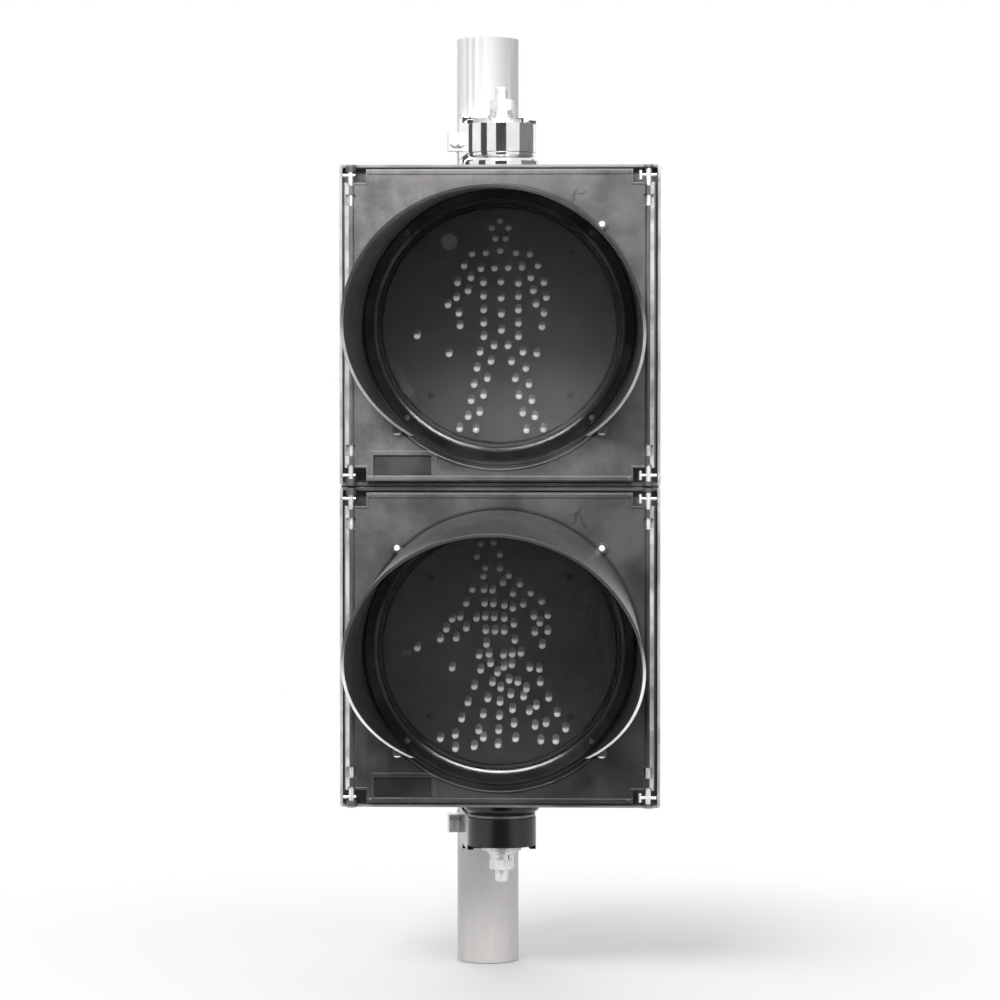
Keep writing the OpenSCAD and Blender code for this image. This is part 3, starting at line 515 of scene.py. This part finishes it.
DARK_ALLOY = metal("dark_alloy", grey(0.2), grey(0.3), (0.35, 0.5), spots=0.2)
VENT = worn_plastic("vent_grey", grey(0.16), grey(0.28), 0.1)
LENS = {"upper": clear_lens("upper", 0.032, 0.062, 2.5),
        "lower": clear_lens("lower", 0.06, 0.045, 1.0)}


def both(*stems):
    """The names of pieces that each section has one of."""
    return [stem + "_" + s for stem in stems for s in SECTIONS]


USED = {
    POLE: ["pole"],
    GALVANISED: ["top_inner_plate", "bottom_inner_plate", "coupling_plates"],
    # Lit and shaded copies: the bottom bracket, hub ring and toothed disc get dark finishes and
    # their top twins polished ones, the dark ones as painted shade
    BLACK_GLOSS: ["bottom_bracket", "bottom_hub_ring"] + both("board_screws"),
    POLISHED: ["top_bracket", "top_hub_ring", "top_toothed_disc"],
    DARK_ALLOY: ["bottom_toothed_disc"],
    SCREW: both("visor_screws", "lens_ring_screws"),
    RUBBER: ["section_gasket"] + both("door_gasket", "lens_gasket"),
    HOUSING: both("housing"),
    RING: both("lens_ring"),
    MODULE: both("module_shell", "cable_gland"),
    BOARD: both("led_board"),
    GREEN: both("driver_board"),
    VENT: ["vent_disc_upper"],
    CREAM: ["terminal_block"],
}
for s in SECTIONS:
    USED[DOOR[s]] = ["door_" + s]
    USED[VISOR[s]] = ["visor_" + s]
    USED[LED[s]] = ["leds_" + s]
    USED[LENS[s]] = ["lens_" + s]

# Pins, bolts, nuts, bands and their screws aren't listed above: they are zinc plated
MATERIAL_OF = {name: material for material, names in USED.items() for name in names}
for name, obj in NODES.items():
    obj.data.materials.clear()
    obj.data.materials.append(MATERIAL_OF.get(name, ZINC))


# ---------------------------------------------------------------- stage, light and camera


def plane(name, corners, material):
    mesh = bpy.data.meshes.new(name)
    mesh.from_pydata([tuple(c) for c in corners], [], [(0, 1, 2, 3)])
    mesh.materials.append(material)
    obj = bpy.data.objects.new(name, mesh)
    bpy.context.scene.collection.objects.link(obj)
    return obj


def floor_paint():
    """Pale floor that keeps the shadow near the object and turns plain white far from it."""
    n = Nodes("floor_paint")
    flat = n.new("ShaderNodeVectorMath", operation="MULTIPLY")
    n.link(n.coords, flat.inputs[0])
    flat.inputs[1].default_value = (1, 1, 0)
    away = n.ramp(n.length(flat.outputs[0]), *SHADOW_REACH)
    diffuse = n.new("ShaderNodeBsdfDiffuse")
    diffuse.inputs["Color"].default_value = (0.93, 0.93, 0.93, 1)
    white = n.new("ShaderNodeEmission")
    m = n.new("ShaderNodeMixShader")
    path = n.new("ShaderNodeLightPath")
    n.link(n.math("MULTIPLY", away, path.outputs["Is Camera Ray"]), m.inputs[0])
    n.link(diffuse.outputs[0], m.inputs[1])
    n.link(white.outputs[0], m.inputs[2])
    return n.done(m.outputs[0])


def floor():
    signs = ((-1, -1), (1, -1), (1, 1), (-1, 1))
    corners = [(x * FLOOR_SIZE, y * FLOOR_SIZE, FLOOR_Z) for x, y in signs]
    obj = plane("floor", corners, floor_paint())


def card(name, corners, tone):
    """A plain board that only shows as a reflection in gloss and bright metal."""
    n = Nodes(name)
    plain = n.new("ShaderNodeEmission")
    plain.inputs["Color"].default_value = grey(tone)
    obj = plane(name, corners, n.done(plain.outputs[0]))
    obj.visible_camera = False
    obj.visible_diffuse = False
    obj.visible_transmission = False
    obj.visible_shadow = False


def upright_card(name, azimuth, distance, width, tone):
    """A card round the hubs; azimuth 0 is in front, and a positive one is to the right."""
    a = math.radians(azimuth)
    middle = Vector((HUB.x + distance * math.sin(a), HUB.y - distance * math.cos(a), CARD_FOOT))
    side = Vector((math.cos(a), math.sin(a), 0)) * width / 2
    up = Vector((0, 0, CARD_HEIGHT))
    card(name, [middle - side, middle + side, middle + side + up, middle - side + up], tone)


def world():
    """Plain white to the camera and in reflections, and a softer light on everything else."""
    w = bpy.data.worlds.new("studio")
    bpy.context.scene.world = w
    w.use_nodes = True
    t = w.node_tree
    t.nodes.clear()
    out = t.nodes.new("ShaderNodeOutputWorld")
    seen = t.nodes.new("ShaderNodeBackground")
    seen.inputs["Color"].default_value = (1, 1, 1, 1)
    seen.inputs["Strength"].default_value = 1.0
    light = t.nodes.new("ShaderNodeBackground")
    light.inputs["Color"].default_value = (0.98, 0.98, 1.0, 1)
    light.inputs["Strength"].default_value = 0.55
    path = t.nodes.new("ShaderNodeLightPath")
    either = t.nodes.new("ShaderNodeMath")
    either.operation = "MAXIMUM"
    mix = t.nodes.new("ShaderNodeMixShader")
    t.links.new(path.outputs["Is Camera Ray"], either.inputs[0])
    t.links.new(path.outputs["Is Glossy Ray"], either.inputs[1])
    t.links.new(either.outputs[0], mix.inputs[0])
    t.links.new(light.outputs[0], mix.inputs[1])
    t.links.new(seen.outputs[0], mix.inputs[2])
    t.links.new(mix.outputs[0], out.inputs["Surface"])


def lamp(name, place, aim, size, power, glossy=True, diffuse=True):
    data = bpy.data.lights.new(name, "AREA")
    data.shape = "RECTANGLE"
    data.size, data.size_y = size
    data.energy = power
    obj = bpy.data.objects.new(name, data)
    bpy.context.scene.collection.objects.link(obj)
    obj.visible_glossy = glossy
    obj.visible_diffuse = diffuse
    obj.location = place
    obj.rotation_euler = (Vector(aim) - Vector(place)).to_track_quat("-Z", "Y").to_euler()


def camera():
    data = bpy.data.cameras.new("camera")
    data.sensor_width = 36
    data.lens = 125.6
    data.clip_end = 60
    obj = bpy.data.objects.new("camera", data)
    bpy.context.scene.collection.objects.link(obj)
    obj.location = at_head(88, -2600, 60)
    aim = at_head(0.4, 0, -9.7)
    obj.rotation_euler = (aim - obj.location).to_track_quat("-Z", "Y").to_euler()
    bpy.context.scene.camera = obj


floor()
world()

# What the gloss and the bright metal mirror: boards round the set, and a dark mat before it
upright_card("card_front", 0, 3.4, 2.1, 0.07)
upright_card("card_left", -60, 2.6, 1.1, 0.08)
upright_card("card_left_rear", -128, 2.6, 1.4, 0.1)
upright_card("card_right", 98, 2.6, 3.6, 0.24)
mat = [(x, y, MAT_Z) for x, y in ((-0.9, -3.6), (0.9, -3.6), (0.45, -0.45), (-0.45, -0.45))]
card("card_mat", mat, 0.02)

# Key and fill light the faces; the two glints are only mirrored, in the lens rings above all
lamp("key", (-0.7, -2.0, 1.8), at_head(0, 0, 0), (1.0, 0.8), 40, glossy=False)
lamp("fill", (1.5, -2.0, 0.7), at_head(0, 0, 0), (1.0, 1.4), 10, glossy=False)
lamp("glint", (0.0, -1.75, 1.45), at_head(0, 0, -120), (1.7, 0.2), 90, diffuse=False)
lamp("glint_high", (0.0, -1.75, 1.72), at_head(0, 0, 120), (1.7, 0.14), 60, diffuse=False)
lamp("back", (-0.4, 1.8, 1.6), at_head(0, 50, 0), (1.4, 1.4), 14)
camera()
bpy.context.scene.view_settings.view_transform = "Standard"
